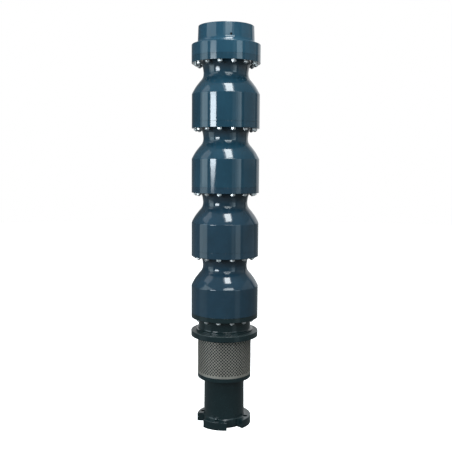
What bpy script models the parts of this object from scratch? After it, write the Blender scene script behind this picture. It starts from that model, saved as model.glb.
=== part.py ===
"""Four-stage borehole pump, standing upright on its motor flange.

Metres, +Z up, origin at the centre of the base.
"""

import math

import bpy

# Rings of castings, all turned about the Z axis
bowl_radius = 0.1222
bowl_height = 0.230
bowl_flange = 0.0216
shoulder_top = 0.1012
neck_radius = 0.0807
first_joint = 0.417
bowl_count = 4
joint_gap = 0.0008
gasket_half = 0.0005
shaft_radius = 0.020
shaft_clearance = 0.0004
passage_radius = 0.070
sides = 32

# Motor adapter
motor_flange_thickness = 0.030
motor_flange_radius = 0.0990
slot_floor_radius = 0.0768
bolt_angles = (-17.7, 72.3, 162.3, 252.3)
slot_angles = ((6.2, 42.5), (269, 311))
slot_relief = 0.0065
bolt_circle_radius = 0.0826
bolt_hole_radius = 0.0085
pilot_radius = 0.0635
pilot_depth = 0.008
coupling_bore_radius = 0.060
barrel_radius_top = 0.0730
barrel_radius_bottom = 0.0742
barrel_foot_radius = 0.0757
ring_radius = 0.0980
ring_bottom = 0.1752
ring_top = 0.190

# Strainer and suction casing
strainer_radius = 0.0980
strainer_wall = 0.002
plate_radius = 0.1228
plate_bottom = 0.3303
plate_top = 0.3510
step_radius = 0.1045
step_top = 0.3576
suction_neck_radius = 0.0953
suction_flange = 0.0178
rib_count = 6
clearance = 0.0003

# Discharge casing
discharge_height = 0.109
discharge_radius = 0.1234
discharge_cylinder = 0.044
collar_radius_foot = 0.1017
collar_radius_top = 0.0997
thread_radius = 0.080
thread_depth = 0.060


def clear_scene():
    for item in list(bpy.data.objects):
        bpy.data.objects.remove(item, do_unlink=True)


def paint(item, colour, roughness, metallic):
    """Gives the object its own Principled material."""
    material = bpy.data.materials.new(item.name + "_material")
    material.use_nodes = True
    shader = material.node_tree.nodes["Principled BSDF"]
    shader.inputs["Base Color"].default_value = (*colour, 1)
    shader.inputs["Roughness"].default_value = roughness
    shader.inputs["Metallic"].default_value = metallic
    item.data.materials.append(material)
    return item


def mesh_object(name, points, faces):
    mesh = bpy.data.meshes.new(name)
    mesh.from_pydata(points, [], faces)
    mesh.validate()
    item = bpy.data.objects.new(name, mesh)
    bpy.context.scene.collection.objects.link(item)
    return item


def turned(name, profile, count=sides):
    """Turns a closed (radius, z) outline about Z. It runs down its outer side and up its inner side."""
    points = []
    for step in range(count):
        angle = 2 * math.pi * step / count
        for radius, z in profile:
            points.append((radius * math.cos(angle), radius * math.sin(angle), z))
    faces = []
    length = len(profile)
    for step in range(count):
        after = (step + 1) % count
        for index in range(length):
            below = (index + 1) % length
            near = step * length
            far = after * length
            faces.append((near + index, near + below, far + below, far + index))
    return mesh_object(name, points, faces)


def prism(name, outline, bottom, top):
    """Raises a plan outline, given counter-clockwise, into a solid."""
    count = len(outline)
    points = [(x, y, bottom) for x, y in outline]
    points += [(x, y, top) for x, y in outline]
    faces = [tuple(reversed(range(count))), tuple(range(count, 2 * count))]
    for index in range(count):
        after = (index + 1) % count
        faces.append((index, after, count + after, count + index))
    return mesh_object(name, points, faces)


def on_circle(radius, degrees):
    """A plan point, with the angle counted from the front (-Y) towards the right (+X)."""
    angle = math.radians(degrees)
    return (radius * math.sin(angle), -radius * math.cos(angle))


def disc(radius, count, x=0.0, y=0.0):
    outline = []
    for step in range(count):
        angle = 2 * math.pi * step / count
        outline.append((x + radius * math.cos(angle), y + radius * math.sin(angle)))
    return outline


def bar_outline(degrees, inner, outer, width):
    """A rectangle in plan that runs outward at an angle from the front."""
    angle = math.radians(degrees)
    along = (math.sin(angle), -math.cos(angle))
    across = (math.cos(angle), math.sin(angle))
    outline = []
    for reach, side in ((inner, -1), (outer, -1), (outer, 1), (inner, 1)):
        x = reach * along[0] + side * width / 2 * across[0]
        y = reach * along[1] + side * width / 2 * across[1]
        outline.append((x, y))
    return outline


def combine(item, others, operation):
    """Joins the others to the item, or cuts them from it, and removes them."""
    for other in others:
        modifier = item.modifiers.new("combine", "BOOLEAN")
        modifier.operation = operation
        modifier.solver = "EXACT"
        modifier.object = other
        bpy.context.view_layer.objects.active = item
        bpy.ops.object.modifier_apply(modifier=modifier.name)
        bpy.data.objects.remove(other, do_unlink=True)
    return item


def smooth(item, degrees=35):
    item.data.shade_smooth()
    item.data.set_sharp_from_angle(angle=math.radians(degrees))
    return item


def finish(item, colour, roughness, metallic):
    return paint(smooth(item), colour, roughness, metallic)


def bowl_outside(base, flange_radius):
    """The outer side of one bowl casting, from its top face down to its base."""
    flange_foot = base + bowl_height - bowl_flange
    low = base + joint_gap
    return [
        (flange_radius - 0.001, base + bowl_height - joint_gap),
        (flange_radius, base + bowl_height - joint_gap - 0.001),
        (flange_radius, flange_foot),
        (0.0927, flange_foot),
        (0.0860, flange_foot - 0.008),
        (neck_radius, flange_foot - 0.026),
        (0.0819, flange_foot - 0.047),
        (0.0942, flange_foot - 0.0650),
        (0.1082, flange_foot - 0.0832),
        (0.1186, flange_foot - 0.1006),
        (bowl_radius, base + shoulder_top),
        (bowl_radius, low + 0.001),
        (bowl_radius - 0.001, low),
    ]


def bowl_casing(number):
    """Bowls 2 and 3 are closed housings, so they stay solid apart from the shaft's bore."""
    base = first_joint + (number - 1) * bowl_height
    top = base + bowl_height - joint_gap
    bore = shaft_radius + shaft_clearance
    flange_radius = discharge_radius if number == bowl_count else bowl_radius
    profile = bowl_outside(base, flange_radius)
    if number == 1:
        profile += [(0.104, base + joint_gap), (0.104, base + 0.052), (0.040, base + 0.060)]
        profile += [(bore, base + 0.060)]
    else:
        profile += [(bore, base + joint_gap)]
    if number == bowl_count:
        profile += [(bore, top), (0.038, top), (0.038, base + 0.130), (0.070, base + 0.130)]
        profile += [(0.064, base + 0.170), (passage_radius, top)]
    else:
        profile += [(bore, top)]
    item = turned(f"bowl_casing_{number}", profile)
    if number == bowl_count:
        combine(item, diffuser_vanes(base), "UNION")
    return finish(item, (0.030, 0.085, 0.135), 0.28, 0.0)


def diffuser_vanes(base):
    """Vanes that lean across the passage of the top bowl, seen through the outlet."""
    vanes = []
    for step in range(6):
        outline = bar_outline(step * 60 + 30, 0.034, 0.0735, 0.006)
        vane = prism(f"vane_{step}", outline, base + 0.127, base + 0.205)
        lean = math.radians(16)
        for vertex in vane.data.vertices:
            turn = lean * (vertex.co.z - base - 0.160) / 0.040
            x, y = vertex.co.x, vertex.co.y
            vertex.co.x = x * math.cos(turn) - y * math.sin(turn)
            vertex.co.y = x * math.sin(turn) + y * math.cos(turn)
        vanes.append(vane)
    return vanes


def joint_gasket(number):
    height = first_joint + (number - 1) * bowl_height
    profile = [
        (0.1212, height + gasket_half),
        (0.1212, height - gasket_half),
        (0.0715, height - gasket_half),
        (0.0715, height + gasket_half),
    ]
    item = turned(f"joint_gasket_{number}", profile, 32)
    return finish(item, (0.012, 0.016, 0.020), 0.7, 0.0)


def discharge_casing():
    base = first_joint + bowl_count * bowl_height
    top = base + discharge_height
    shelf = base + discharge_cylinder
    profile = [
        (collar_radius_top - 0.002, top),
        (collar_radius_top, top - 0.002),
        (collar_radius_foot, shelf + 0.014),
        (0.1052, shelf + 0.005),
        (0.1115, shelf),
        (discharge_radius - 0.003, shelf),
        (discharge_radius, shelf - 0.003),
        (discharge_radius, base + joint_gap + 0.0005),
        (discharge_radius - 0.0005, base + joint_gap),
        (passage_radius, base + joint_gap),
        (0.0760, top - thread_depth - 0.012),
        (0.0760, top - thread_depth),
        (thread_radius, top - thread_depth),
        (thread_radius, top - 0.004),
        (thread_radius + 0.004, top),
    ]
    item = turned("discharge_casing", profile)
    return finish(item, (0.034, 0.095, 0.148), 0.28, 0.0)


def discharge_bearing_cap():
    """A cup over the shaft's upper end, on the hub of the top bowl."""
    low = first_joint + bowl_count * bowl_height - joint_gap + clearance
    inside = shaft_radius + 0.0015
    outline = [
        (0.0060, low + 0.030),
        (0.0180, low + 0.028),
        (0.0300, low + 0.018),
        (0.0330, low + 0.010),
        (0.0370, low + 0.008),
        (0.0370, low),
        (inside, low),
        (inside, low + 0.016),
        (0.0060, low + 0.016),
    ]
    item = turned("discharge_bearing_cap", outline, 24)
    plug = prism("plug", disc(0.0065, 24), low + 0.0165, low + 0.0300)
    combine(item, [plug], "UNION")
    return finish(item, (0.030, 0.085, 0.135), 0.35, 0.0)


def suction_casing():
    top = first_joint - joint_gap
    flange_foot = first_joint - suction_flange
    profile = [
        (bowl_radius - 0.0005, top),
        (bowl_radius, top - 0.0005),
        (bowl_radius, flange_foot),
        (0.1003, flange_foot),
        (0.0968, flange_foot - 0.005),
        (suction_neck_radius, flange_foot - 0.012),
        (suction_neck_radius, step_top + 0.005),
        (0.0983, step_top),
        (step_radius, step_top),
        (step_radius, plate_top),
        (plate_radius - 0.001, plate_top),
        (plate_radius, plate_top - 0.001),
        (plate_radius, plate_bottom),
        (0.0780, plate_bottom),
        (0.0720, plate_bottom + 0.026),
        (0.0715, top - 0.012),
        (0.0715, top),
    ]
    item = turned("suction_casing", profile)
    hub_bore = shaft_radius + 0.0045
    hub_profile = [(0.036, 0.375), (0.036, plate_bottom), (hub_bore, plate_bottom), (hub_bore, 0.375)]
    hub = turned("hub", hub_profile, 24)
    webs = []
    for step in range(3):
        outline = bar_outline(step * 120 + 90, 0.034, 0.084, 0.010)
        webs.append(prism(f"web_{step}", outline, plate_bottom + 0.006, 0.366))
    combine(item, [hub], "UNION")
    combine(item, webs, "UNION")
    return finish(item, (0.022, 0.062, 0.098), 0.3, 0.0)


def suction_wear_ring():
    top = first_joint + 0.006
    low = first_joint - 0.012
    profile = [(0.0710, top), (0.0710, low), (0.0620, low), (0.0620, top)]
    item = turned("suction_wear_ring", profile, 32)
    return finish(item, (0.42, 0.29, 0.12), 0.35, 0.9)


def suction_bearing():
    """The bush that guides the shaft in the suction casing's hub."""
    outer = shaft_radius + 0.0042
    inner = shaft_radius + shaft_clearance
    profile = [(outer, 0.374), (outer, plate_bottom + 0.001), (inner, plate_bottom + 0.001), (inner, 0.374)]
    item = turned("suction_bearing", profile, 24)
    return finish(item, (0.42, 0.29, 0.12), 0.35, 0.9)


def suction_rib(number):
    """A bar between the plate and the lower ring, behind the strainer."""
    degrees = (number - 1) * 360 / rib_count + 6
    outline = bar_outline(degrees, 0.074, 0.0920, 0.014)
    item = prism(f"suction_rib_{number}", outline, ring_top + clearance, plate_bottom - clearance)
    return finish(item, (0.022, 0.062, 0.098), 0.35, 0.0)


def strainer_screen():
    """Perforated sheet. It is a plain tube here."""
    top = plate_bottom - clearance
    low = ring_top + clearance
    inner = strainer_radius - strainer_wall
    profile = [(strainer_radius, top), (strainer_radius, low), (inner, low), (inner, top)]
    item = turned("strainer_screen", profile)
    return finish(item, (0.36, 0.35, 0.33), 0.38, 1.0)


def flange_outline():
    """The motor flange in plan: a disc with two round-floored slots, one on each side of its front lobe."""
    outline = []
    end = slot_angles[1][1] - 360
    for start, stop in slot_angles:
        pieces = round((start - end - 6.0) / 11)
        for step in range(pieces + 1):
            degrees = end + 3.0 + step * (start - end - 6.0) / pieces
            outline.append(on_circle(motor_flange_radius, degrees))
        outline.append(on_circle(motor_flange_radius - 0.001, start - 1.5))
        outline.append(on_circle(motor_flange_radius - 0.005, start))
        outline.append(on_circle(slot_floor_radius + 0.004, start))
        for step in range(5):
            degrees = start + 2.0 + step * (stop - start - 4.0) / 4
            outline.append(on_circle(slot_floor_radius, degrees))
        outline.append(on_circle(slot_floor_radius + 0.004, stop))
        outline.append(on_circle(motor_flange_radius - 0.005, stop))
        outline.append(on_circle(motor_flange_radius - 0.001, stop + 1.5))
        end = stop
    return outline


def slot_reliefs():
    """Cutters that lift the lower edge of each slot's floor clear of the motor's face."""
    cutters = []
    for number, (start, stop) in enumerate(slot_angles):
        first = start - 1.2
        turn = (stop - start + 2.4) / 4
        outline = [on_circle(slot_floor_radius + 0.0055, first + step * turn) for step in range(5)]
        outline += [on_circle(slot_floor_radius - 0.0060, first + step * turn) for step in (4, 3, 2, 1, 0)]
        cutters.append(prism(f"relief_{number}", outline, -0.010, slot_relief))
    return cutters


def motor_adapter():
    """Motor flange, barrel and lower ring in one casting, open right through for the coupling."""
    flange = prism("motor_adapter", flange_outline(), 0.0, motor_flange_thickness)
    barrel = turned(
        "barrel",
        [
            (ring_radius, ring_top),
            (ring_radius, ring_bottom),
            (barrel_radius_top + 0.004, ring_bottom),
            (barrel_radius_top, ring_bottom - 0.004),
            (barrel_radius_bottom, motor_flange_thickness + 0.010),
            (barrel_foot_radius, motor_flange_thickness + 0.002),
            (barrel_foot_radius, 0.012),
            (0.055, 0.012),
            (0.055, ring_top),
        ],
    )
    combine(flange, [barrel], "UNION")
    bore = prism("bore", disc(coupling_bore_radius, sides), -0.010, ring_top + 0.010)
    pilot = prism("pilot", disc(pilot_radius, sides), -0.010, pilot_depth)
    cutters = [bore, pilot] + slot_reliefs()
    for number, centre in enumerate(bolt_angles):
        x, y = on_circle(bolt_circle_radius, centre)
        outline = disc(bolt_hole_radius, 16, x, y)
        cutters.append(prism(f"bolt_{number}", outline, -0.010, motor_flange_thickness + 0.004))
    combine(flange, cutters, "DIFFERENCE")
    return finish(flange, (0.016, 0.036, 0.048), 0.32, 0.0)


def pump_shaft():
    top = first_joint + bowl_count * bowl_height + 0.012
    outline = disc(shaft_radius, 24)
    item = prism("pump_shaft", outline, 0.1104, top)
    return finish(item, (0.45, 0.45, 0.44), 0.3, 1.0)


def shaft_coupling():
    """Splined sleeve that takes the motor's shaft from below."""
    outer = 0.032
    socket = 0.0165
    profile = [
        (outer - 0.002, 0.158),
        (outer, 0.156),
        (outer, 0.072),
        (outer - 0.002, 0.070),
        (socket, 0.070),
        (socket, 0.110),
        (shaft_radius + clearance, 0.110),
        (shaft_radius + clearance, 0.158),
    ]
    item = turned("shaft_coupling", profile, 24)
    return finish(item, (0.40, 0.40, 0.39), 0.35, 1.0)


def first_stage_impeller():
    """Closed impeller on the shaft, its eye facing down through the suction casing."""
    low = first_joint
    bore = shaft_radius + clearance
    profile = [
        (0.1000, low + 0.046),
        (0.1000, low + 0.012),
        (0.0700, low + 0.0085),
        (0.0616, low + 0.0075),
        (0.0616, low - 0.010),
        (0.0560, low - 0.010),
        (0.0560, low + 0.012),
        (0.0600, low + 0.020),
        (0.0340, low + 0.036),
        (0.0260, low + 0.012),
        (0.0260, low + 0.002),
        (bore, low + 0.002),
        (bore, low + 0.052),
        (0.0300, low + 0.052),
        (0.0400, low + 0.050),
    ]
    item = turned("first_stage_impeller", profile, 24)
    return finish(item, (0.42, 0.29, 0.12), 0.4, 0.9)


clear_scene()
discharge_casing()
discharge_bearing_cap()
for stage in range(1, bowl_count + 1):
    bowl_casing(stage)
for joint in range(1, bowl_count + 2):
    joint_gasket(joint)
suction_casing()
suction_wear_ring()
suction_bearing()
for rib in range(1, rib_count + 1):
    suction_rib(rib)
strainer_screen()
motor_adapter()
pump_shaft()
shaft_coupling()
first_stage_impeller()
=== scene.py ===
import math
import random

import bpy
from mathutils import Matrix, Vector


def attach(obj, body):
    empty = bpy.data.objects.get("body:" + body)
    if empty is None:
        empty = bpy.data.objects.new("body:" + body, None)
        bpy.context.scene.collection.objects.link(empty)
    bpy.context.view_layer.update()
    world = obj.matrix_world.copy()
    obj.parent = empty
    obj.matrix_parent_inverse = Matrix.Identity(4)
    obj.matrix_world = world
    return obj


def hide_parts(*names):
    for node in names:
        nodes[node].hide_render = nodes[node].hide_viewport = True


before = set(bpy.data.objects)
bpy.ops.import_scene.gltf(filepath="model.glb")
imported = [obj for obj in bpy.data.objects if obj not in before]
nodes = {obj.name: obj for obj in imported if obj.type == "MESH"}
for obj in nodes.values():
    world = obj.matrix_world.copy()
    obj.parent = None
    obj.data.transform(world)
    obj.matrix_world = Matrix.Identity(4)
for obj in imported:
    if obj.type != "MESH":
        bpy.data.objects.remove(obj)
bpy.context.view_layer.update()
print("frame loaded:", len(nodes), "nodes")

chance = random.Random(7)

# Shared by several pieces, in metres: heights are above the motor flange's lower face
levels = {"firstJoint": 0.417, "pitch": 0.230, "bowls": 4, "gap": 0.0008, "jointEdge": 0.0002}
# How many steps a curve gets at a rounded corner, between measured points and in a slot's arc
fineness = {"corner": 4, "curve": 3, "arc": 12}
# How many sides the round pieces have
sides = {"outlet": 128, "bowl": 112, "adapter": 128, "shadowLining": 96, "hub": 48, "bolt": 32, "nut": 24,
         "screw": 20, "stud": 14, "hexagon": 6}


def jointHeight(number):
    # joint 1 is under the lowest bowl, the last one under the outlet casing
    return levels["firstJoint"] + (number - 1) * levels["pitch"]


def aroundPump(degrees, radius, height):
    # a point at an angle from the front (-Y) towards the right (+X)
    angle = math.radians(degrees)
    return Vector((radius * math.sin(angle), -radius * math.cos(angle), height))


def angleOf(point):
    return math.degrees(math.atan2(point.x, -point.y))


def freeSelection():
    if bpy.context.mode != "OBJECT":
        bpy.ops.object.mode_set(mode="OBJECT")
    bpy.ops.object.select_all(action="DESELECT")


def pick(piece):
    freeSelection()
    piece.select_set(True)
    bpy.context.view_layer.objects.active = piece


def settle(piece):
    # puts the piece's place and turn into its mesh
    pick(piece)
    bpy.ops.object.transform_apply(location=True, rotation=True, scale=True)
    return piece


def shade(piece, degrees=32):
    pick(piece)
    bpy.ops.object.shade_smooth_by_angle(angle=math.radians(degrees))
    return piece


def openMesh(action="SELECT"):
    # edit mode, with all or nothing of the mesh selected
    bpy.ops.object.mode_set(mode="EDIT")
    bpy.ops.mesh.select_all(action=action)


def closeMesh(outwards=False):
    if outwards:
        bpy.ops.mesh.select_all(action="SELECT")
        bpy.ops.mesh.normals_make_consistent(inside=False)
    bpy.ops.object.mode_set(mode="OBJECT")


def newPiece(name):
    # names the primitive that was just added
    piece = bpy.context.object
    piece.name = name
    return piece


def applyModifier(piece, kind, **settings):
    pick(piece)
    modifier = piece.modifiers.new(kind.lower(), kind)
    for key, value in settings.items():
        setattr(modifier, key, value)
    bpy.ops.object.modifier_apply(modifier=modifier.name)


def combine(piece, other, operation):
    # joins the other to the piece, cuts it out or keeps what both share
    applyModifier(piece, "BOOLEAN", operation=operation, solver="EXACT", object=other)
    bpy.data.objects.remove(other, do_unlink=True)


def merge(pieces, name):
    freeSelection()
    for piece in pieces:
        piece.select_set(True)
    bpy.context.view_layer.objects.active = pieces[0]
    bpy.ops.object.join()
    pieces[0].name = name
    return pieces[0]


def copyOf(piece, name):
    twin = piece.copy()
    twin.data = piece.data.copy()
    twin.name = name
    bpy.context.scene.collection.objects.link(twin)
    return twin


def wear(piece, finish, standsFor):
    # gives the piece its finish and lets it stand for CAD nodes
    piece.data.materials.clear()
    piece.data.materials.append(finish)
    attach(piece, "root")
    for name in standsFor:
        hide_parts(name)


def rounded(corners):
    # (radius, height, rounding) corners become rings, each corner curved by its rounding
    rings = []
    steps = fineness["corner"]
    for index, (radius, height, size) in enumerate(corners):
        here = Vector((radius, height))
        if size <= 0:
            rings.append((radius, height))
            continue
        before = Vector(corners[index - 1][:2])
        after = Vector(corners[(index + 1) % len(corners)][:2])
        toBefore = (before - here).normalized()
        toAfter = (after - here).normalized()
        start = here + toBefore * min(size, (before - here).length * 0.49)
        end = here + toAfter * min(size, (after - here).length * 0.49)
        curve = []
        for step in range(steps + 1):
            t = step / steps
            curve.append(start * (1 - t) ** 2 + here * 2 * t * (1 - t) + end * t ** 2)
        if (before - here).length > 4 * size:  # a ring beside the curve keeps the flat wall's shading flat
            curve.insert(0, start + toBefore * size * 0.5)
        if (after - here).length > 4 * size:
            curve.append(end + toAfter * size * 0.5)
        rings += [(point.x, point.y) for point in curve]
    return rings


def flowing(points):
    # a smooth line through measured points, for the cast curves of neck and shoulder
    rings = []
    for index in range(len(points) - 1):
        a = Vector(points[max(index - 1, 0)])
        b = Vector(points[index])
        c = Vector(points[index + 1])
        d = Vector(points[min(index + 2, len(points) - 1)])
        for step in range(fineness["curve"]):
            t = step / fineness["curve"]
            point = 0.5 * (2 * b + (c - a) * t + (2 * a - 5 * b + 4 * c - d) * t * t
                           + (3 * b - a - 3 * c + d) * t * t * t)
            rings.append((point.x, point.y))
    rings.append(tuple(points[-1]))
    return rings


def turn(name, rings, count, ringShaped=True):
    # raises a circle ring by ring along an outline, then joins its two ends or caps them
    freeSelection()
    radius, height = rings[0]
    bpy.ops.mesh.primitive_circle_add(vertices=count, radius=radius, location=(0, 0, height),
                                      fill_type="NOTHING")
    piece = settle(newPiece(name))
    openMesh()
    for nextRadius, nextHeight in rings[1:]:
        bpy.ops.mesh.extrude_region_move(TRANSFORM_OT_translate={"value": (0, 0, nextHeight - height)})
        scale = nextRadius / radius
        bpy.ops.transform.resize(value=(scale, scale, 1), center_override=(0, 0, nextHeight))
        radius, height = nextRadius, nextHeight
    bpy.ops.mesh.select_all(action="DESELECT")
    bpy.ops.mesh.select_non_manifold(extend=False)
    if ringShaped:
        bpy.ops.mesh.bridge_edge_loops()
    else:
        bpy.ops.mesh.edge_face_add()
    closeMesh(outwards=True)
    return piece


def sector(name, inner, outer, low, high, start, stop):
    # a piece of a ring, spun from one upright rectangle between two angles
    freeSelection()
    middle = (0, -(inner + outer) / 2, (low + high) / 2)
    bpy.ops.mesh.primitive_plane_add(size=1, location=middle, rotation=(0, math.radians(90), 0))
    piece = newPiece(name)
    piece.scale = (high - low, outer - inner, 1)
    settle(piece)
    piece.rotation_euler = (0, 0, math.radians(stop))
    settle(piece)
    openMesh()
    bpy.ops.mesh.spin(steps=fineness["arc"], angle=math.radians(stop - start), center=(0, 0, 0),
                      axis=(0, 0, 1))
    closeMesh(outwards=True)
    return piece


def bevelEdges(piece, wanted, width, segments):
    # bevels the edges whose two ends pass the test
    pick(piece)
    openMesh("DESELECT")
    bpy.ops.mesh.select_mode(type="EDGE")
    closeMesh()
    for edge in piece.data.edges:
        edge.select = wanted(*[piece.data.vertices[index].co for index in edge.vertices])
    bpy.ops.object.mode_set(mode="EDIT")
    bpy.ops.mesh.bevel(offset=width, segments=segments, affect="EDGES")
    bpy.ops.mesh.select_mode(type="VERT")
    closeMesh()


def block(name, size, place, edge=0.0, turned=0.0):
    # a box with softened edges, turned by degrees about the pump's axis
    freeSelection()
    bpy.ops.mesh.primitive_cube_add(size=1, location=place)
    piece = newPiece(name)
    piece.scale = size
    settle(piece)
    if edge:
        openMesh()
        bpy.ops.mesh.bevel(offset=edge, segments=2, affect="EDGES")
        closeMesh()
    piece.rotation_euler = (0, 0, math.radians(turned))
    return settle(piece)


def rod(name, radius, length, place, count, tilt=(0, 0, 0)):
    freeSelection()
    bpy.ops.mesh.primitive_cylinder_add(vertices=count, radius=radius, depth=length, location=place,
                                        rotation=tilt)
    return settle(newPiece(name))


class Value:  # a shader socket that takes part in plain arithmetic

    def __init__(self, shading, socket):
        self.shading = shading
        self.socket = socket

    def __add__(self, other):
        return self.shading.reckon("ADD", self, other)

    def __radd__(self, other):
        return self.shading.reckon("ADD", other, self)

    def __sub__(self, other):
        return self.shading.reckon("SUBTRACT", self, other)

    def __rsub__(self, other):
        return self.shading.reckon("SUBTRACT", other, self)

    def __mul__(self, other):
        return self.shading.reckon("MULTIPLY", self, other)

    def __rmul__(self, other):
        return self.shading.reckon("MULTIPLY", other, self)

    def __truediv__(self, other):
        return self.shading.reckon("DIVIDE", self, other)

    def __rtruediv__(self, other):
        return self.shading.reckon("DIVIDE", other, self)


class Shading:  # the nodes of one material or of the world

    def __init__(self, tree):
        self.tree = tree

    def add(self, kind, settings=None, sockets=None, out=0):
        node = self.tree.nodes.new(kind)
        for key, value in (settings or {}).items():
            if key == "stops":
                self.setStops(node.color_ramp.elements, value)
            else:
                setattr(node, key, value)
        for key, value in (sockets or {}).items():
            if isinstance(value, Value):
                self.tree.links.new(value.socket, node.inputs[key])
            else:
                node.inputs[key].default_value = value
        return Value(self, node.outputs[out])

    def setStops(self, elements, stops):
        while len(elements) < len(stops):
            elements.new(0.5)
        for element, (place, colour) in zip(elements, stops):
            element.position = place
            element.color = (*colour, 1)

    def reckon(self, operation, first, second=0.0):
        return self.add("ShaderNodeMath", {"operation": operation}, {0: first, 1: second})

    def band(self, value, low, high):
        # 0 below low, 1 above high and smooth between
        return self.add("ShaderNodeMapRange", {"interpolation_type": "SMOOTHSTEP"}, {
            "Value": value, "From Min": low, "From Max": high})

    def blend(self, factor, first, second):
        # from the first colour to the second, each a value or red, green and blue
        ends = [colour if isinstance(colour, Value) else (*colour, 1) for colour in (first, second)]
        return self.add("ShaderNodeMix", {"data_type": "RGBA"}, {0: factor, 6: ends[0], 7: ends[1]}, out=2)


class Finish(Shading):  # one material, built node by node

    def __init__(self, name, **settings):
        self.material = bpy.data.materials.new(name)
        self.material.use_nodes = True
        super().__init__(self.material.node_tree)
        self.shader = self.tree.nodes["Principled BSDF"]
        for key, value in settings.items():
            self.shader.inputs[key.replace("_", " ")].default_value = value

    def place(self, scale=None):
        where = self.add("ShaderNodeTexCoord", out="Object")
        if scale:
            where = self.add("ShaderNodeMapping", {}, {"Vector": where, "Scale": scale})
        return where

    def reach(self):
        # distance from the pump's axis
        flat = self.place((1, 1, 0))
        return self.add("ShaderNodeVectorMath", {"operation": "LENGTH"}, {0: flat}, out="Value")

    def height(self):
        return self.add("ShaderNodeSeparateXYZ", {}, {0: self.place()}, out="Z")

    def noise(self, scale, detail=3.0, roughness=0.5, where=None):
        return self.add("ShaderNodeTexNoise", {}, {
            "Vector": where or self.place(), "Scale": scale, "Detail": detail, "Roughness": roughness})

    def bump(self, height, strength, distance, under=None):
        sockets = {"Height": height, "Strength": strength, "Distance": distance}
        if under:
            sockets["Normal"] = under
        return self.add("ShaderNodeBump", {}, sockets)

    def use(self, **links):
        for key, value in links.items():
            self.tree.links.new(value.socket, self.shader.inputs[key.replace("_", " ")])
        return self.material


coating = {
    "cloudScale": 9.0, "smearScale": 60.0,
    "speck": (0.10, 0.14, 0.17), "speckScale": 420.0, "speckShare": 0.2,
    "grime": (0.10, 0.11, 0.11), "grimeScale": 28.0, "grimeShare": 0.06,
    # the recess colour is painted shade, for the shadow under each bowl's flange
    "recess": (0.020, 0.030, 0.040), "neckShadeShare": 0.75, "neckShadeRadius": 0.096,
    "dust": (0.15, 0.17, 0.165), "dustShare": 0.08, "dustRadius": 0.103,
    "swellScale": 17.0, "swellStrength": 0.07, "swellDepth": 0.003,
    "peelScale": 330.0, "peelStrength": 0.03, "peelDepth": 0.0005,
}


def paintedIron(name, colour, deep, gloss=0.07, dust=0.0, ledge=None, shadedNecks=False):
    # gloss paint on cast iron, a little cloudy, with orange peel and the casting's swell under it
    finish = Finish(name, IOR=1.5, Specular_IOR_Level=0.5)
    cloud = finish.band(finish.noise(coating["cloudScale"], 4.0), 0.35, 0.68)
    base = finish.blend(cloud, deep, colour)
    speck = finish.band(finish.noise(coating["speckScale"], 2.0), 0.70, 0.78)
    base = finish.blend(speck * coating["speckShare"], base, coating["speck"])
    grime = finish.band(finish.noise(coating["grimeScale"], 6.0, 0.65), 0.55, 0.82)
    base = finish.blend(grime * (coating["grimeShare"] + dust), base, coating["grime"])
    rough = gloss + grime * 0.10 + finish.noise(coating["smearScale"]) * 0.03
    if shadedNecks:  # painted shade: darker, greyer paint in the recess under each bowl's flange, where the flange shades the neck
        local = finish.reckon("FRACT", (finish.height() - levels["firstJoint"]) / levels["pitch"])
        outside = finish.band(finish.reach(), coating["neckShadeRadius"], coating["neckShadeRadius"] + 0.010)
        recess = finish.band(local, 0.72, 0.85) * (1 - outside)
        base = finish.blend(recess * coating["neckShadeShare"], base, coating["recess"])
    if ledge:  # dust that has settled on a ledge
        level = finish.band(finish.height(), ledge - 0.0024, ledge - 0.0006)
        level = level * (1 - finish.band(finish.height(), ledge + 0.0004, ledge + 0.0010))
        settled = level * finish.band(finish.reach(), coating["dustRadius"], coating["dustRadius"] + 0.005)
        base = finish.blend(settled * (coating["dustShare"] + grime * 0.3), base, coating["dust"])
        rough = rough + settled * 0.25
    waves = finish.noise(coating["swellScale"], 2.0)
    swell = finish.bump(waves, coating["swellStrength"], coating["swellDepth"])
    grains = finish.noise(coating["peelScale"], 2.0)
    peel = finish.bump(grains, coating["peelStrength"], coating["peelDepth"], swell)
    return finish.use(Base_Color=base, Roughness=rough, Normal=peel)


sheetLook = {
    "dull": (0.27, 0.248, 0.216), "bright": (0.37, 0.343, 0.302), "mark": (0.31, 0.285, 0.24),
    # the inside colour is painted shade for the sheet's inner side
    "inside": (0.014, 0.015, 0.015), "grainScale": 60.0, "markScale": 30.0, "markShare": 0.35,
}


def stainlessSheet(name, innerFace):
    # rolled stainless sheet with faint upright graining and water marks; its inner side is painted dark and
    # dull, as painted shade for the inside of the strainer
    finish = Finish(name)
    grain = finish.noise(sheetLook["grainScale"], 4.0, where=finish.place((1, 1, 0.06)))
    marks = finish.band(finish.noise(sheetLook["markScale"], 5.0, 0.6), 0.45, 0.75)
    base = finish.blend(grain, sheetLook["dull"], sheetLook["bright"])
    base = finish.blend(marks * sheetLook["markShare"], base, sheetLook["mark"])
    # painted shade: inside this radius the sheet turns dark and dull
    outside = finish.band(finish.reach(), innerFace, innerFace + 0.0005)
    base = finish.blend(outside, sheetLook["inside"], base)
    rough = 0.42 + marks * 0.12 + grain * 0.08 + (1 - outside) * 0.4
    return finish.use(Base_Color=base, Roughness=rough, Metallic=outside * 0.60 + 0.02,
                      Normal=finish.bump(grain, 0.06, 0.0006))


def platedSteel(name):
    # bright zinc-plated fasteners
    finish = Finish(name, Metallic=1.0)
    spot = finish.noise(240.0)
    base = finish.blend(finish.band(spot, 0.4, 0.7), (0.66, 0.66, 0.66), (0.46, 0.46, 0.45))
    return finish.use(Base_Color=base, Roughness=0.32 + spot * 0.18, Normal=finish.bump(spot, 0.08, 0.0003))


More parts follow.
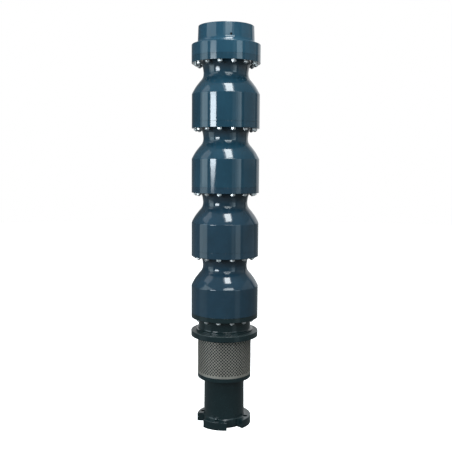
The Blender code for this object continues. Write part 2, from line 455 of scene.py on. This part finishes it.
def turnedMetal(name, colour, dark, gloss):
    # machined metal with fine rings from the lathe
    finish = Finish(name, Metallic=1.0)
    lines = finish.noise(900.0, 2.0, where=finish.place((0.02, 0.02, 1)))
    cloud = finish.band(finish.noise(35.0, 4.0), 0.4, 0.7)
    base = finish.blend(cloud, colour, dark)
    rings = finish.bump(lines, 0.12, 0.0003)
    return finish.use(Base_Color=base, Roughness=gloss + cloud * 0.15, Normal=rings)


paint = {
    "outlet": paintedIron("outletPaint", (0.016, 0.058, 0.090), (0.013, 0.047, 0.075)),
    "bowl": paintedIron("bowlPaint", (0.0122, 0.0440, 0.0690), (0.0100, 0.0355, 0.0560), shadedNecks=True),
    # a darker copy of the bowl paint, as painted shade on the lower bowls
    "shadedLowBowl": paintedIron("shadedLowBowlPaint", (0.0125, 0.0355, 0.0570), (0.0105, 0.0285, 0.0445), shadedNecks=True),
    "suction": paintedIron("suctionPaint", (0.0065, 0.0165, 0.0185), (0.0055, 0.0135, 0.0155), 0.15,
                           ledge=0.3510),
    "adapter": paintedIron("adapterPaint", (0.0075, 0.0180, 0.0205), (0.0060, 0.0145, 0.0165), 0.18, 0.03),
}
zinc = platedSteel("platedSteel")
bronze = turnedMetal("castBronze", (0.42, 0.27, 0.11), (0.30, 0.19, 0.08), 0.35)
shaftSteel = turnedMetal("shaftSteel", (0.50, 0.50, 0.49), (0.38, 0.38, 0.37), 0.22)
darkSteel = turnedMetal("darkSteel", (0.045, 0.050, 0.055), (0.025, 0.028, 0.032), 0.40)
print("finishes made")


outlet = {
    "height": 0.109, "radius": 0.1234, "shelf": 0.044, "collarFoot": 0.1017, "collarTop": 0.0997,
    # the fillet between collar and shelf: distance outside the collar's foot, height above the shelf
    "fillet": [(-0.0003, 0.0175), (-0.0002, 0.015), (0.0006, 0.010), (0.0026, 0.005), (0.0060, 0.0018),
               (0.0105, 0.0)],
    "mouthEdge": 0.0032, "shelfEdge": 0.0028, "bore": 0.0702, "boreEdge": 0.0006,
    "chamber": 0.0762, "chamberHeight": 0.012, "mouthFlare": 0.0038, "mouthHeight": 0.0045,
    "threadRadius": 0.080, "threadDepth": 0.060, "threadPitch": 0.0023, "threadTooth": 0.0012,
    "threadEnd": 0.008,
}
# "Reach" is the distance of a rod's middle from the pump's axis
setScrew = {
    "angle": 9.7, "height": 1.4026, "radius": 0.0042, "play": 0.0004, "length": 0.012, "reach": 0.0895,
    "holeLength": 0.024, "holeReach": 0.094, "keyRadius": 0.0022, "keyLength": 0.008, "keyReach": 0.0952,
}


def alongScrew(name, radius, length, reach, count=sides["screw"]):
    # a rod on the set screw's axis
    place = aroundPump(setScrew["angle"], reach, setScrew["height"])
    tilt = (math.radians(90), 0, math.radians(setScrew["angle"]))
    return rod(name, radius, length, place, count, tilt)


def makeOutletCasing():
    joint = jointHeight(levels["bowls"] + 1)
    base = joint + levels["gap"]
    top = joint + outlet["height"]
    shelf = joint + outlet["shelf"]
    threadFoot = top - outlet["threadDepth"]
    outside = [(outlet["collarTop"], top, outlet["mouthEdge"])]
    outside += [(outlet["collarFoot"] + out, shelf + up, 0.0) for out, up in outlet["fillet"]]
    outside += [
        (outlet["radius"], shelf, outlet["shelfEdge"]),
        (outlet["radius"], base, levels["jointEdge"]),
        (outlet["bore"], base, outlet["boreEdge"]),
        (outlet["chamber"], threadFoot - outlet["chamberHeight"], 0.0),
        (outlet["chamber"], threadFoot, 0.0),
    ]
    rings = rounded(outside)
    height = threadFoot
    while height < top - outlet["threadEnd"]:
        rings.append((outlet["threadRadius"], height))
        rings.append((outlet["threadRadius"] - outlet["threadTooth"], height + outlet["threadPitch"] * 0.5))
        height += outlet["threadPitch"]
    rings += [(outlet["threadRadius"], top - outlet["mouthHeight"]),
              (outlet["threadRadius"] + outlet["mouthFlare"], top)]
    piece = turn("outletCasing", rings, sides["outlet"])
    hole = alongScrew("screwHole", setScrew["radius"], setScrew["holeLength"], setScrew["holeReach"])
    combine(piece, hole, "DIFFERENCE")
    wear(shade(piece), paint["outlet"], ["discharge_casing"])


def makeSetScrew():
    # socket set screw that locks the riser, sunk in the collar
    radius = setScrew["radius"] - setScrew["play"]
    piece = alongScrew("outletSetScrew", radius, setScrew["length"], setScrew["reach"])
    key = alongScrew("screwSocket", setScrew["keyRadius"], setScrew["keyLength"], setScrew["keyReach"],
                     sides["hexagon"])
    combine(piece, key, "DIFFERENCE")
    wear(shade(piece), darkSteel, ())


makeOutletCasing()
makeSetScrew()
print("outlet casing made")


bowl = {
    "radius": 0.1222, "flange": 0.0216, "flangeEdge": 0.0012, "crease": 0.1003, "bore": 0.0204,
    "shadedBowls": 2, "shading": 38,
    # radius and drop below the flange's foot, from the neck's top to the crease
    "neck": [(0.0927, 0.0), (0.0889, 0.0036), (0.0861, 0.0075), (0.0832, 0.0145), (0.0817, 0.0228),
             (0.0807, 0.0310), (0.0805, 0.0347), (0.0810, 0.0415), (0.0818, 0.0455), (0.0833, 0.0500),
             (0.0875, 0.0569), (0.0946, 0.0651), (0.1019, 0.0744), (0.1087, 0.0837), (0.1143, 0.0931),
             (0.1187, 0.1013), (0.1214, 0.1071)],
    # how far the rings under the crease stand in, and their drop below it
    "creaseRings": [(0.0002, 0.0), (0.0, 0.0018), (0.0, 0.0035)],
    "wallHeights": [0.065, 0.033],
    # the first impeller's recess: radius and height above the bowl's foot
    "recess": [(0.104, 0.052), (0.040, 0.060), (0.0204, 0.060)],
    # the top bowl's passage, down its hub and up its wall
    "hub": 0.038, "passage": 0.070,
    "hollow": [(0.042, 0.135), (0.048, 0.131), (0.064, 0.130), (0.069, 0.134), (0.066, 0.150),
               (0.064, 0.170), (0.065, 0.190)],
}
vane = {
    "count": 6, "size": (0.0395, 0.0056, 0.078), "reach": 0.05375, "middle": 0.166, "cuts": 7,
    "straightHeight": 0.160, "windDegrees": 16, "windHeight": 0.040,
}
jointSheet = {"radius": 0.1216, "topRadius": 0.1232, "bore": 0.0715, "clearance": 0.0001}


def coatOf(number):
    # painted shade: the lower bowls and their joints get a darker copy of the same blue paint, for the light
    # that falls off towards the bottom
    return paint["bowl"] if number > bowl["shadedBowls"] else paint["shadedLowBowl"]


def makeBowl(number):
    base = jointHeight(number)
    low = base + levels["gap"]
    top = base + levels["pitch"] - levels["gap"]
    flangeFoot = base + levels["pitch"] - bowl["flange"]
    wall = bowl["radius"]
    flangeRadius = outlet["radius"] if number == levels["bowls"] else wall
    rings = rounded([
        (bowl["passage"], top, 0.0), (flangeRadius, top, levels["jointEdge"]),
        (flangeRadius, flangeFoot, bowl["flangeEdge"]), (bowl["neck"][0][0], flangeFoot, 0.0)])[1:-1]
    rings += flowing([(radius, flangeFoot - drop) for radius, drop in bowl["neck"]])
    rings += [(wall - inset, base + bowl["crease"] - drop) for inset, drop in bowl["creaseRings"]]
    rings += [(wall, base + height) for height in bowl["wallHeights"]]
    rings += rounded([
        (wall, base + bowl["wallHeights"][-1], 0.0), (wall, low, levels["jointEdge"]),
        (bowl["bore"], low, 0.0)])[1:-1]
    if number == 1:
        rings += [(bowl["recess"][0][0], low)]
        rings += [(radius, base + height) for radius, height in bowl["recess"]]
    else:
        rings += [(bowl["bore"], low)]
    rings += [(bowl["bore"], top)]
    if number == levels["bowls"]:
        rings += [(bowl["hub"], top)]
        rings += [(radius, base + height) for radius, height in bowl["hollow"]]
        rings += [(bowl["passage"], top)]
    piece = turn(f"bowlCasing{number}", rings, sides["bowl"])
    if number == levels["bowls"]:
        for step in range(vane["count"]):
            combine(piece, makeVane(step, base), "UNION")
    wear(shade(piece, bowl["shading"]), coatOf(number), [f"bowl_casing_{number}"])


def makeVane(step, base):
    # a diffuser vane of the top bowl that winds round as it rises
    piece = block(f"vane{step}", vane["size"], (vane["reach"], 0, base + vane["middle"]))
    pick(piece)
    openMesh()
    bpy.ops.mesh.subdivide(number_cuts=vane["cuts"])
    closeMesh()
    for vertex in piece.data.vertices:
        rise = vertex.co.z - base - vane["straightHeight"]
        wind = math.radians(vane["windDegrees"]) * rise / vane["windHeight"]
        turned = math.radians(step * 360 / vane["count"]) + wind
        vertex.co = Matrix.Rotation(turned, 3, "Z") @ vertex.co
    return piece


def makeJointRing(number):
    # joint sheet, painted over with the castings, so that only a faint line shows
    height = jointHeight(number)
    thick = levels["gap"] - jointSheet["clearance"]
    reach = jointSheet["topRadius" if number > levels["bowls"] else "radius"]
    bore = jointSheet["bore"]
    rings = [(reach, height + thick), (reach, height - thick), (bore, height - thick), (bore, height + thick)]
    piece = turn(f"jointRing{number}", rings, sides["bowl"])
    wear(shade(piece), coatOf(number), [f"joint_gasket_{number}"])


for stage in range(1, levels["bowls"] + 1):
    makeBowl(stage)
for joint in range(1, levels["bowls"] + 2):
    makeJointRing(joint)
print("bowls made")


suction = {
    "radius": 0.1222, "flange": 0.0178, "neck": 0.0953, "step": 0.1045, "stepTop": 0.3576,
    "plateRadius": 0.1228, "plateTop": 0.3510, "plateFoot": 0.3303,
    "edge": 0.0016, "flangeEdge": 0.0014, "neckFillet": 0.0090, "stepFillet": 0.0060, "plateFillet": 0.0010,
    "mouth": 0.0790, "mouthEdge": 0.0030, "mouthNeck": 0.0720, "mouthHeight": 0.026, "mouthCurve": 0.0080,
    "throat": 0.0715, "throatHeight": 0.012, "throatEdge": 0.0008,
    "hub": 0.036, "hubBore": 0.0245, "hubTop": 0.375, "hubEdge": 0.0020,
    "webs": 3, "webSize": (0.050, 0.010, 0.0290), "webReach": 0.059, "webRise": 0.0205,
}


def makeSuctionCasing():
    top = levels["firstJoint"] - levels["gap"]
    foot = levels["firstJoint"] - suction["flange"]
    plateFoot = suction["plateFoot"]
    outside = [
        (suction["radius"], top, levels["jointEdge"]),
        (suction["radius"], foot, suction["flangeEdge"]),
        (suction["neck"], foot, suction["neckFillet"]),
        (suction["neck"], suction["stepTop"], suction["stepFillet"]),
        (suction["step"], suction["stepTop"], suction["edge"]),
        (suction["step"], suction["plateTop"], suction["plateFillet"]),
        (suction["plateRadius"], suction["plateTop"], suction["edge"]),
        (suction["plateRadius"], plateFoot, suction["edge"]),
        (suction["mouth"], plateFoot, suction["mouthEdge"]),
        (suction["mouthNeck"], plateFoot + suction["mouthHeight"], suction["mouthCurve"]),
        (suction["throat"], top - suction["throatHeight"], 0.0),
        (suction["throat"], top, suction["throatEdge"]),
    ]
    piece = turn("suctionCasing", rounded(outside), sides["bowl"])
    hub = turn("suctionHub", rounded([
        (suction["hub"], suction["hubTop"], suction["hubEdge"]),
        (suction["hub"], plateFoot, suction["hubEdge"]),
        (suction["hubBore"], plateFoot, 0.0),
        (suction["hubBore"], suction["hubTop"], 0.0),
    ]), sides["hub"])
    combine(piece, hub, "UNION")
    for step in range(suction["webs"]):
        place = (suction["webReach"], 0, plateFoot + suction["webRise"])
        web = block(f"web{step}", suction["webSize"], place, turned=step * 360 / suction["webs"])
        combine(piece, web, "UNION")
    wear(shade(piece), paint["suction"], ["suction_casing"])


fastener = {
    "count": 14, "circle": 0.1055, "firstAngle": -37.0, "flats": 0.0160, "nutHeight": 0.0078,
    "chamferReach": 1.13, "chamfer": 0.0014, "seat": 0.0002, "turnShare": 0.6, "looseTurn": 6,
    "studRadius": 0.0049, "studRoot": 0.0043, "studEnd": 0.0030, "threadPitch": 0.0015,
    "studSunk": 0.001, "plainEnd": 0.002,
    # the stud's tip: how far it stands in, and its height above the end
    "tip": [(0.0004, 0.0012), (0.0016, 0.0)],
}


def onRing(a, b):
    # an edge of a rod's end faces, not one of its upright edges
    return abs(a.z - b.z) < 1e-6 and abs(a.length - b.length) < 1e-5


def makeNut():
    # a hexagon nut with turned chamfers on the end of its stud, hanging from height 0
    tall = fastener["nutHeight"]
    half = fastener["flats"] / 2
    middle = (0, 0, -tall / 2)
    nut = rod("nut", half / math.cos(math.radians(30)), tall, middle, sides["hexagon"])
    envelope = rod("envelope", half * fastener["chamferReach"], tall, middle, sides["nut"])
    bevelEdges(envelope, onRing, fastener["chamfer"], 1)
    combine(nut, envelope, "INTERSECT")
    rings = []
    height = -tall + fastener["studSunk"]
    end = -tall - fastener["studEnd"]
    while height > end + fastener["plainEnd"]:
        rings.append((fastener["studRadius"], height))
        rings.append((fastener["studRoot"], height - fastener["threadPitch"] / 2))
        height -= fastener["threadPitch"]
    rings += [(fastener["studRadius"] - inset, end + up) for inset, up in fastener["tip"]]
    combine(nut, turn("stud", rings, sides["stud"], ringShaped=False), "UNION")
    return shade(nut, 30)


def makeJointNuts(number, nut):
    # the ring of nuts under one flange, each tightened to its own turn
    foot = jointHeight(number) - (suction["flange"] if number == 1 else bowl["flange"])
    ring = []
    for step in range(fastener["count"]):
        degrees = fastener["firstAngle"] + step * 360 / fastener["count"]
        one = copyOf(nut, f"nut{number}x{step}")
        one.location = aroundPump(degrees, fastener["circle"], foot + fastener["seat"])
        loose = chance.uniform(-fastener["looseTurn"], fastener["looseTurn"])
        one.rotation_euler = (0, 0, math.radians(degrees * fastener["turnShare"] + loose))
        ring.append(settle(one))
    wear(merge(ring, f"jointNuts{number}"), zinc, ())


oneNut = makeNut()
for joint in range(1, levels["bowls"] + 2):
    makeJointNuts(joint, oneNut)
bpy.data.objects.remove(oneNut, do_unlink=True)
print("nuts made")
makeSuctionCasing()
print("suction casing made")


strainer = {
    "radius": 0.0980, "wall": 0.0014, "low": 0.1912, "high": 0.3300, "around": 53, "holeRadius": 0.0034,
    "rows": 22, "lowestRow": 0.0115, "holeSides": 12, "weld": 0.00005,
    "innerFace": 0.0969, "shadowLining": 0.0964, "shadowLiningWall": 0.0003,
    "ribs": 6, "ribSize": (0.014, 0.018), "ribReach": 0.083, "ribEdge": 0.0022, "firstRib": 6,
}
sheetSteel = stainlessSheet("strainerSteel", strainer["innerFace"])


def punchHole(half):
    # one hole in its diamond of metal, from the hole's rim out to the diamond's edges
    freeSelection()
    bpy.ops.mesh.primitive_circle_add(vertices=strainer["holeSides"], radius=strainer["holeRadius"],
                                      fill_type="NOTHING")
    tile = newPiece("strainerSheet")
    openMesh()
    bpy.ops.mesh.extrude_region_move()
    bpy.ops.transform.resize(value=(1.2, 1.2, 1), center_override=(0, 0, 0))
    closeMesh()
    for vertex in tile.data.vertices:
        if vertex.co.length > strainer["holeRadius"] * 1.1:
            reach = half / (abs(vertex.co.x) + abs(vertex.co.y))
            vertex.co = vertex.co * reach
    return tile


def repeatHoles(tile, half):
    # staggered rows: two tiles side by side, repeated round and up
    shifted = copyOf(tile, "strainerShifted")
    shifted.location = (half, half, 0)
    sheet = merge([tile, settle(shifted)], "strainerSheet")
    for count, offset in ((strainer["around"], (half * 2, 0, 0)), (strainer["rows"] // 2, (0, half * 2, 0))):
        applyModifier(sheet, "ARRAY", count=count, use_relative_offset=False, use_constant_offset=True,
                      constant_offset_displace=offset, use_merge_vertices=True,
                      merge_threshold=strainer["weld"])
    openMesh()
    bpy.ops.mesh.remove_doubles(threshold=strainer["weld"])
    bpy.ops.mesh.select_mode(type="EDGE")
    closeMesh()
    return sheet


def drawMargins(sheet, half):
    # plain margins: the saw edge of the first and the last row is drawn out to a straight line
    pitch = half * 2
    close = strainer["weld"] * 0.4
    foot = -strainer["lowestRow"]
    head = strainer["high"] - strainer["low"] - strainer["lowestRow"]

    def onRim(point, row):  # on the outer sides of one row's diamonds
        across = (point.x - row % 2 * half) / pitch
        return abs(abs(across - round(across)) * pitch + abs(point.y - row * half) - half) < close

    for row, side, straight in ((0, -1, foot), (strainer["rows"] - 1, 1, head)):
        openMesh("DESELECT")
        closeMesh()
        points = [vertex.co for vertex in sheet.data.vertices]
        outer = [onRim(point, row) and (point.y - row * half) * side > -close for point in points]
        for edge in sheet.data.edges:
            edge.select = all(outer[index] for index in edge.vertices)
        for vertex, chosen in zip(sheet.data.vertices, outer):
            vertex.select = chosen
        bpy.ops.object.mode_set(mode="EDIT")
        bpy.ops.mesh.extrude_region_move()
        closeMesh()
        for vertex in sheet.data.vertices:
            if vertex.select:
                vertex.co.y = straight


def rollSheet(sheet):
    # rolled round the pump's axis, the seam at the back, and thickened
    for vertex in sheet.data.vertices:
        angle = vertex.co.x / strainer["radius"]
        height = strainer["low"] + strainer["lowestRow"] + vertex.co.y
        vertex.co = (strainer["radius"] * math.sin(angle), strainer["radius"] * math.cos(angle), height)
    pick(sheet)
    openMesh()
    bpy.ops.mesh.select_mode(type="VERT")
    bpy.ops.mesh.remove_doubles(threshold=strainer["weld"])
    closeMesh(outwards=True)
    applyModifier(sheet, "SOLIDIFY", thickness=strainer["wall"], offset=-1)


def makeStrainer():
    half = math.pi * strainer["radius"] / strainer["around"]
    sheet = repeatHoles(punchHole(half), half)
    drawMargins(sheet, half)
    rollSheet(sheet)
    outer = strainer["shadowLining"]  # a thin dark sheet behind the holes, painted shade for the inside of the strainer
    inner = strainer["shadowLining"] - strainer["shadowLiningWall"]
    shadowLining = turn("strainerShadowLining", [
        (outer, strainer["low"]), (outer, strainer["high"]),
        (inner, strainer["high"]), (inner, strainer["low"])], sides["shadowLining"])
    sheet = merge([sheet, shadowLining], "strainerSheet")
    wear(shade(sheet), sheetSteel, ["strainer_screen"])


def makeRibs():
    size = (*strainer["ribSize"], strainer["high"] - strainer["low"])
    place = (0, -strainer["ribReach"], (strainer["low"] + strainer["high"]) / 2)
    for number in range(strainer["ribs"]):
        degrees = number * 360 / strainer["ribs"] + strainer["firstRib"]
        rib = block(f"suctionRib{number + 1}", size, place, strainer["ribEdge"], degrees)
        wear(shade(rib), paint["suction"], [f"suction_rib_{number + 1}"])


makeStrainer()
makeRibs()
print("strainer made")


adapter = {
    "flangeRadius": 0.0990, "flange": 0.030, "slotFloor": 0.0768, "slots": ((6.2, 42.5), (-91, -49)),
    "slotCorner": 0.0045, "slotRelief": 0.0065, "reliefIn": 0.006, "reliefOut": 0.004,
    "cutRadius": 0.120, "cutLow": -0.010, "cutHigh": 0.060,
    "bolts": (-17.7, 72.3, 162.3, 252.3), "boltCircle": 0.0826, "boltRadius": 0.0085,
    "boltDepth": 0.056, "boltMiddle": 0.006,
    "barrelTop": 0.0730, "barrelFoot": 0.0742, "ringRadius": 0.0980, "ringLow": 0.1752, "ringHigh": 0.1909,
    "ringEdge": 0.0010, "ringFootEdge": 0.0026, "ringFillet": 0.0050, "flangeFillet": 0.0060,
    "flangeEdge": 0.0016, "pilotEdge": 0.0010, "boreEdge": 0.0012,
    "bore": 0.060, "pilot": 0.0635, "pilotDeep": 0.008,
}


def cutSlot(piece, start, stop):
    floor = adapter["slotFloor"]

    def inCorner(a, b):  # an upright edge at either end of the slot's floor
        upright = abs(a.z - b.z) > 0.02 and math.hypot(a.x, a.y) < floor + 0.002
        return upright and min(abs(angleOf(a) - start), abs(angleOf(a) - stop)) < 1

    slot = sector("slot", floor, adapter["cutRadius"], adapter["cutLow"], adapter["cutHigh"], start, stop)
    bevelEdges(slot, inCorner, adapter["slotCorner"], 4)
    combine(piece, slot, "DIFFERENCE")
    relief = sector("relief", floor - adapter["reliefIn"], floor + adapter["reliefOut"], adapter["cutLow"],
                    adapter["slotRelief"], start, stop)
    combine(piece, relief, "DIFFERENCE")


def makeAdapter():
    corners = [
        (adapter["ringRadius"], adapter["ringHigh"], adapter["ringEdge"]),
        (adapter["ringRadius"], adapter["ringLow"], adapter["ringFootEdge"]),
        (adapter["barrelTop"], adapter["ringLow"], adapter["ringFillet"]),
        (adapter["barrelFoot"], adapter["flange"], adapter["flangeFillet"]),
        (adapter["flangeRadius"], adapter["flange"], adapter["flangeEdge"]),
        (adapter["flangeRadius"], 0.0, adapter["flangeEdge"]),
        (adapter["pilot"], 0.0, adapter["pilotEdge"]),
        (adapter["pilot"], adapter["pilotDeep"], 0.0),
        (adapter["bore"], adapter["pilotDeep"], 0.0),
        (adapter["bore"], adapter["ringHigh"], adapter["boreEdge"]),
    ]
    piece = turn("motorAdapter", rounded(corners), sides["adapter"])
    for start, stop in adapter["slots"]:  # a slot on each side of the front lobe
        cutSlot(piece, start, stop)
    for bolt in adapter["bolts"]:
        place = aroundPump(bolt, adapter["boltCircle"], adapter["boltMiddle"])
        hole = rod("boltHole", adapter["boltRadius"], adapter["boltDepth"], place, sides["bolt"])
        combine(piece, hole, "DIFFERENCE")
    wear(shade(piece), paint["adapter"], ["motor_adapter"])


makeAdapter()
print("motor adapter made")


inside = {  # pieces that keep their CAD shape
    "discharge_bearing_cap": paint["outlet"], "suction_wear_ring": bronze, "suction_bearing": bronze,
    "first_stage_impeller": bronze, "pump_shaft": shaftSteel, "shaft_coupling": shaftSteel,
}
for name, finish in inside.items():
    nodes[name].data.materials.clear()
    nodes[name].data.materials.append(finish)


studio = {
    "floorRadius": 9.0, "floorColour": (0.86, 0.86, 0.86, 1), "floorGlow": 0.93, "distance": 3.0,
    "tints": {
        "window": (0.84, 0.93, 1.0), "windowHead": (0.82, 0.93, 1.0), "windowFade": (0.80, 0.93, 1.0),
        "ceiling": (0.80, 0.95, 1.0), "left": (0.74, 0.93, 1.0), "rightTop": (0.74, 0.92, 1.0),
        "right": (0.72, 0.91, 1.0), "room": (0.86, 0.95, 1.0), "back": (0.95, 0.98, 1.0),
        "high": (0.90, 0.95, 1.0), "head": (0.84, 0.97, 1.0), "front": (0.90, 0.98, 1.0),
        "roof": (0.93, 0.98, 1.0),
    },
    "panels": [
        # name, azimuth from the camera's side, width in degrees, low, high, radiance, tint
        ("window", -41.4, 19.4, 0.95, 1.50, 21.0, "window"),
        ("windowTop", -41.7, 20.0, 1.50, 1.64, 14.0, "window"),
        ("windowHead", -41.7, 20.0, 1.64, 1.78, 8.0, "windowHead"),
        ("windowFade", -41.7, 20.0, 1.78, 1.95, 4.2, "windowFade"),
        ("windowLow", -41.6, 15.0, 0.88, 0.95, 13.0, "window"),
        ("windowFoot", -42.2, 12.5, 0.82, 0.88, 9.0, "window"),
        ("windowSill", -43.4, 9.5, 0.74, 0.82, 6.0, "window"),
        ("leftTop", -63.0, 44.0, 2.05, 2.7, 1.9, "ceiling"),
        ("leftWallTop", -73.0, 22.0, 1.66, 1.98, 2.5, "left"),
        ("leftWall", -73.0, 22.0, 0.78, 1.66, 3.1, "left"),
        ("leftWallSide", -88.0, 8.0, 0.78, 1.98, 1.3, "left"),
        ("leftWallMiddle", -78.0, 32.0, 0.10, 0.78, 1.7, "left"),
        ("leftWallLow", -78.0, 32.0, -0.6, 0.10, 0.25, "left"),
        ("rightWallTop", 44.0, 19.0, 1.66, 2.1, 3.4, "rightTop"),
        ("rightWall", 49.5, 7.0, 0.78, 1.66, 2.5, "right"),
        ("rightWallNear", 43.0, 6.0, 0.78, 1.66, 1.8, "right"),
        ("rightWallSide", 36.5, 7.0, 0.78, 1.66, 1.0, "right"),
        ("rightWallEdge", 27.5, 11.0, 0.10, 1.9, 0.45, "right"),
        ("rightWallMiddle", 44.0, 18.0, 0.10, 0.78, 1.25, "right"),
        ("rightWallLow", 44.0, 18.0, -0.6, 0.10, 0.3, "right"),
        ("rightRoom", 90.0, 54.0, 0.95, 2.6, 0.34, "room"),
        ("rightRoomLow", 90.0, 54.0, 0.10, 0.95, 0.15, "room"),
        ("rightBack", 136.0, 18.0, 0.60, 2.2, 0.5, "back"),
        ("leftHigh", -88.0, 30.0, 2.8, 5.0, 1.2, "high"),
        ("frontHead", 10.0, 27.0, 2.16, 2.42, 3.8, "head"),
        ("frontHeadSide", 10.0, 44.0, 2.05, 2.42, 0.8, "head"),
        ("frontTop", 15.0, 38.0, 2.42, 3.20, 9.0, "front"),
    ],
    # place, size and radiance of the two lit sheets overhead, and the height they aim at
    "roofs": [((0.43, -1.36, 3.95), (1.0, 1.9), 15.0), ((0.36, -1.25, 4.05), (1.5, 2.3), 2.5)],
    "roofAim": 1.1,
    # the dim room from straight below to straight above, and the bright side behind the pump
    "room": ((0.0, 0.12), (0.44, 0.22), (0.53, 0.12), (0.70, 0.20), (1.0, 0.40)),
    "roomTint": (0.86, 0.97, 1.0), "bright": aroundPump(168, 0.951, 0.309), "brightFrom": 0.80,
    "camera": {"distance": 2.473, "height": 0.9576, "pitch": 5.18, "roll": 0.37, "aside": 0.0034,
               "focalPixels": 680.0, "photoPixels": 452, "sensor": 36},
}


def addLamp(name, wide, high, radiance, tint, place, turned):
    lamp = bpy.data.lights.new(name, "AREA")
    lamp.shape = "RECTANGLE"
    lamp.size = wide
    lamp.size_y = high
    lamp.energy = radiance * math.pi * wide * high
    lamp.color = studio["tints"][tint]
    holder = bpy.data.objects.new(name, lamp)
    holder.location = place
    holder.rotation_euler = turned
    holder.visible_camera = False
    bpy.context.scene.collection.objects.link(holder)


def addPanel(name, azimuth, width, low, high, radiance, tint):
    # an upright lit wall that faces the pump
    wide = 2 * studio["distance"] * math.tan(math.radians(width / 2))
    place = aroundPump(azimuth, studio["distance"], (low + high) / 2)
    addLamp(name, wide, high - low, radiance, tint, place, (math.radians(90), 0, math.radians(azimuth)))


def addRoofLight(place, size, radiance):
    aim = Vector((0, 0, studio["roofAim"])) - Vector(place)
    addLamp("roofLight", *size, radiance, "roof", place, aim.to_track_quat("-Z", "Y").to_euler())


def addFloor():
    freeSelection()
    bpy.ops.mesh.primitive_circle_add(vertices=64, radius=studio["floorRadius"], fill_type="NGON")
    floor = newPiece("paleFloor")
    finish = Finish("paleFloor", Roughness=0.9, Base_Color=studio["floorColour"],
                    Emission_Color=(1, 1, 1, 1), Emission_Strength=studio["floorGlow"])
    floor.data.materials.append(finish.material)
    floor.visible_glossy = False
    floor.visible_diffuse = False


def addWorld():
    # white to the camera, and for the pump a dim room that is bright behind it on the right
    world = bpy.data.worlds.new("studio")
    bpy.context.scene.world = world
    world.use_nodes = True
    room = Shading(world.node_tree)
    direction = room.add("ShaderNodeTexCoord", out="Generated")
    height = room.add("ShaderNodeSeparateXYZ", {}, {0: direction}, out="Z")
    rise = room.add("ShaderNodeMapRange", {}, {"Value": height, "From Min": -1.0})
    stops = [(place, [level * part for part in studio["roomTint"]]) for place, level in studio["room"]]
    walls = room.add("ShaderNodeValToRGB", {"stops": stops}, {0: rise})
    towards = room.add("ShaderNodeVectorMath", {"operation": "DOT_PRODUCT"}, {
        0: direction, 1: studio["bright"]}, out="Value")
    behind = room.add("ShaderNodeMapRange", {}, {"Value": towards, "From Min": studio["brightFrom"]})
    lit = room.blend(behind, walls, studio["tints"]["back"])
    seen = room.blend(room.add("ShaderNodeLightPath", out="Is Camera Ray"), lit, (1, 1, 1))
    room.tree.links.new(seen.socket, room.tree.nodes["Background"].inputs["Color"])


def addCamera():
    settings = studio["camera"]
    data = bpy.data.cameras.new("camera")
    data.sensor_width = settings["sensor"]
    data.lens = settings["focalPixels"] / settings["photoPixels"] * settings["sensor"]
    camera = bpy.data.objects.new("camera", data)
    bpy.context.scene.collection.objects.link(camera)
    camera.location = (settings["aside"], -settings["distance"], settings["height"])
    tilt = Matrix.Rotation(math.radians(90 - settings["pitch"]), 3, "X")
    roll = Matrix.Rotation(math.radians(settings["roll"]), 3, "Z")
    camera.rotation_euler = (tilt @ roll).to_euler()
    bpy.context.scene.camera = camera


addFloor()
for panel in studio["panels"]:
    addPanel(*panel)
for roof in studio["roofs"]:
    addRoofLight(*roof)
addWorld()
addCamera()
bpy.context.scene.view_settings.view_transform = "Standard"
print("floor, light and camera set")
